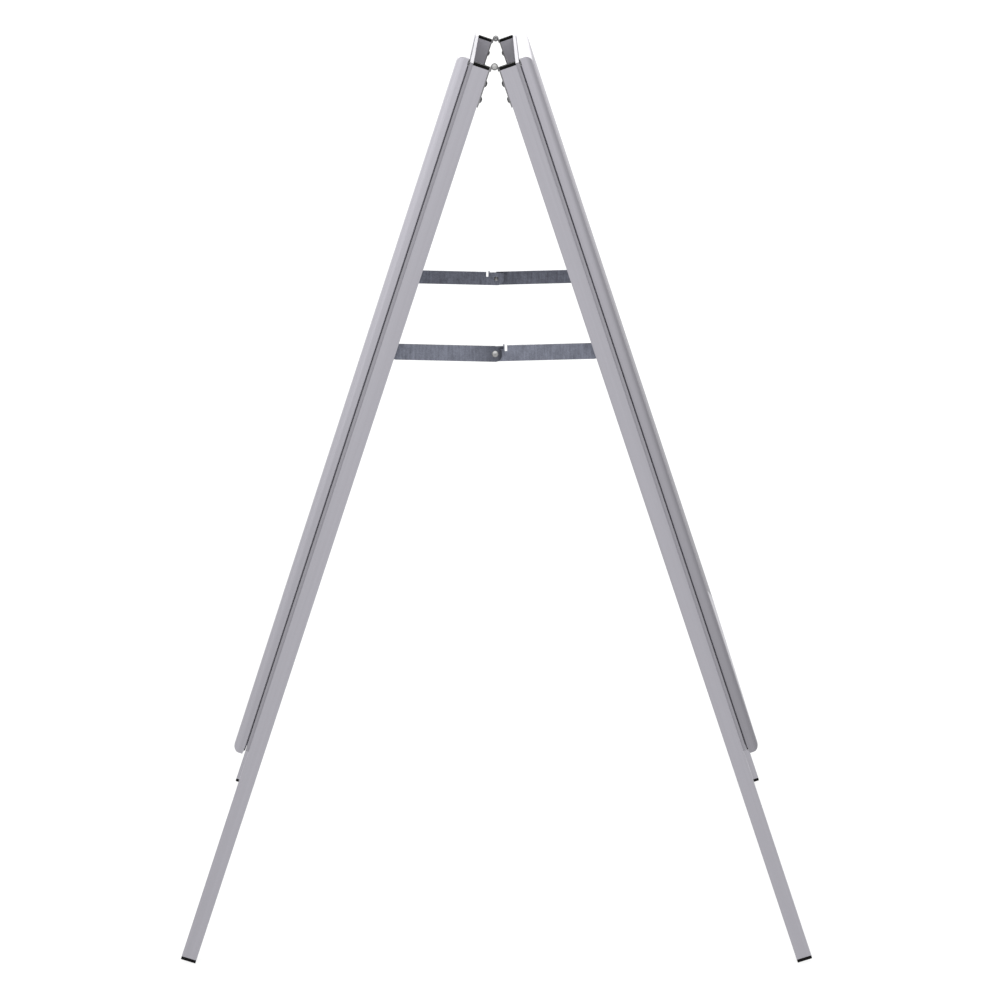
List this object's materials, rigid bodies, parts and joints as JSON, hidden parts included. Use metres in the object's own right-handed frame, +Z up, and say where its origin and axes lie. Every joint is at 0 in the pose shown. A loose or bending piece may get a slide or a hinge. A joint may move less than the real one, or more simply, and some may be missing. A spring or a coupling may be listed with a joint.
{
  "type": "folding A-frame poster stand",
  "caption": "Double-sided folding A-frame sign: poster snap frames on square-tube legs, hinged at the top and held open by locking stays.",
  "frame": {"origin": "on the floor, in the middle of the footprint, straight below the hinge line", "axes": "X along the splay of the two leaves, Y along the hinge line, Z up"},
  "size_m": [0.7944, 0.64, 1.1222],
  "materials": {
    "leg_tube": "satin anodised, fine lengthwise extrusion lines",
    "frame_base": "satin anodised extrusion",
    "snap_cover": "satin anodised extrusion, slightly brighter than the legs",
    "black_plastic": "moulded black, fine grain",
    "zinc_stay": "blue passivated zinc plate over cold-rolled strip",
    "zinc_hinge": "zinc plated, darker than the stays",
    "bright_rivet": "bright turned rivet heads",
    "spring_steel": "plain spring steel",
    "zinc_hardware": "bright zinc plate",
    "galvanised_panel": "galvanised sheet with a soft spangle",
    "clear_sheet": "clear anti-glare plastic sheet"
  },
  "bodies": {
    "left_leaf": {"left_near_leg": "leg_tube", "left_far_leg": "leg_tube", "left_near_top_plug": "black_plastic", "left_far_top_plug": "black_plastic", "left_near_foot_plug": "black_plastic", "left_far_foot_plug": "black_plastic", "left_near_hinge_leaf": "zinc_hinge", "left_far_hinge_leaf": "zinc_hinge", "left_hinge_rivets": "bright_rivet", "left_stay_end_rivets": "bright_rivet", "left_stay_spacers": "zinc_hardware", "left_top_base_rail": "frame_base", "left_bottom_base_rail": "frame_base", "left_near_base_rail": "frame_base", "left_far_base_rail": "frame_base", "left_corner_keys": "spring_steel", "left_snap_springs": "spring_steel", "left_back_panel": "galvanised_panel", "left_clear_sheet": "clear_sheet", "left_frame_screws": "zinc_hardware", "near_hinge_pin": "zinc_hinge", "far_hinge_pin": "zinc_hinge"},
    "right_leaf": {"right_near_leg": "leg_tube", "right_far_leg": "leg_tube", "right_near_top_plug": "black_plastic", "right_far_top_plug": "black_plastic", "right_near_foot_plug": "black_plastic", "right_far_foot_plug": "black_plastic", "right_near_hinge_leaf": "zinc_hinge", "right_far_hinge_leaf": "zinc_hinge", "right_hinge_rivets": "bright_rivet", "right_stay_end_rivets": "bright_rivet", "right_stay_spacers": "zinc_hardware", "right_top_base_rail": "frame_base", "right_bottom_base_rail": "frame_base", "right_near_base_rail": "frame_base", "right_far_base_rail": "frame_base", "right_corner_keys": "spring_steel", "right_snap_springs": "spring_steel", "right_back_panel": "galvanised_panel", "right_clear_sheet": "clear_sheet", "right_frame_screws": "zinc_hardware"},
    "near_plain_bar": {"near_plain_bar": "zinc_stay", "near_stay_rivet_head": "bright_rivet"},
    "near_notched_bar": {"near_notched_bar": "zinc_stay", "near_stay_rivet_tail": "bright_rivet"},
    "far_plain_bar": {"far_plain_bar": "zinc_stay", "far_stay_rivet_head": "bright_rivet"},
    "far_notched_bar": {"far_notched_bar": "zinc_stay", "far_stay_rivet_tail": "bright_rivet"},
    "left_top_snap_cover": {"left_top_snap_cover": "snap_cover"},
    "left_bottom_snap_cover": {"left_bottom_snap_cover": "snap_cover"},
    "left_near_snap_cover": {"left_near_snap_cover": "snap_cover"},
    "left_far_snap_cover": {"left_far_snap_cover": "snap_cover"},
    "right_top_snap_cover": {"right_top_snap_cover": "snap_cover"},
    "right_bottom_snap_cover": {"right_bottom_snap_cover": "snap_cover"},
    "right_near_snap_cover": {"right_near_snap_cover": "snap_cover"},
    "right_far_snap_cover": {"right_far_snap_cover": "snap_cover"}
  },
  "joints": [
    {"name": "fold", "type": "hinge", "parent": "left_leaf", "child": "right_leaf", "pos_m": [0, 0, 1.11109], "axis": [0, 1, 0], "range_deg": [0, 37.2]},
    {"name": "near_plain_bar_pivot", "type": "hinge", "parent": "left_leaf", "child": "near_plain_bar", "pos_m": [-0.12761, -0.2975, 0.77736], "axis": [0, -1, 0], "range_deg": [0, 66.32]},
    {"name": "near_notched_bar_pivot", "type": "hinge", "parent": "right_leaf", "child": "near_notched_bar", "pos_m": [0.12761, -0.2975, 0.77736], "axis": [0, 1, 0], "range_deg": [0, 66.32]},
    {"name": "far_plain_bar_pivot", "type": "hinge", "parent": "right_leaf", "child": "far_plain_bar", "pos_m": [0.12761, 0.2975, 0.77736], "axis": [0, 1, 0], "range_deg": [0, 66.32]},
    {"name": "far_notched_bar_pivot", "type": "hinge", "parent": "left_leaf", "child": "far_notched_bar", "pos_m": [-0.12761, 0.2975, 0.77736], "axis": [0, -1, 0], "range_deg": [0, 66.32]},
    {"name": "left_bottom_cover_hinge", "type": "hinge", "parent": "left_leaf", "child": "left_bottom_snap_cover", "pos_m": [-0.31308, 0, 0.28426], "axis": [0, -1, 0], "range_deg": [0, 90]},
    {"name": "left_near_cover_hinge", "type": "hinge", "parent": "left_leaf", "child": "left_near_snap_cover", "pos_m": [-0.17289, -0.316, 0.7008], "axis": [0.319, 0, 0.9478], "range_deg": [0, 90]},
    {"name": "left_top_cover_hinge", "type": "hinge", "parent": "left_leaf", "child": "left_top_snap_cover", "pos_m": [-0.03271, 0, 1.11735], "axis": [0, 1, 0], "range_deg": [0, 90]},
    {"name": "left_far_cover_hinge", "type": "hinge", "parent": "left_leaf", "child": "left_far_snap_cover", "pos_m": [-0.17289, 0.316, 0.7008], "axis": [-0.319, 0, -0.9478], "range_deg": [0, 90]},
    {"name": "right_bottom_cover_hinge", "type": "hinge", "parent": "right_leaf", "child": "right_bottom_snap_cover", "pos_m": [0.31308, 0, 0.28426], "axis": [0, 1, 0], "range_deg": [0, 90]},
    {"name": "right_near_cover_hinge", "type": "hinge", "parent": "right_leaf", "child": "right_near_snap_cover", "pos_m": [0.17289, -0.316, 0.7008], "axis": [0.319, 0, -0.9478], "range_deg": [0, 90]},
    {"name": "right_top_cover_hinge", "type": "hinge", "parent": "right_leaf", "child": "right_top_snap_cover", "pos_m": [0.03271, 0, 1.11735], "axis": [0, -1, 0], "range_deg": [0, 90]},
    {"name": "right_far_cover_hinge", "type": "hinge", "parent": "right_leaf", "child": "right_far_snap_cover", "pos_m": [0.17289, 0.316, 0.7008], "axis": [-0.319, 0, 0.9478], "range_deg": [0, 90]}
  ],
  "couplings": [
    {"joint": "near_plain_bar_pivot", "follows": "fold", "ratio": 1.7814},
    {"joint": "near_notched_bar_pivot", "follows": "fold", "ratio": 1.7814},
    {"joint": "far_plain_bar_pivot", "follows": "fold", "ratio": 1.7814},
    {"joint": "far_notched_bar_pivot", "follows": "fold", "ratio": 1.7814}
  ]
}
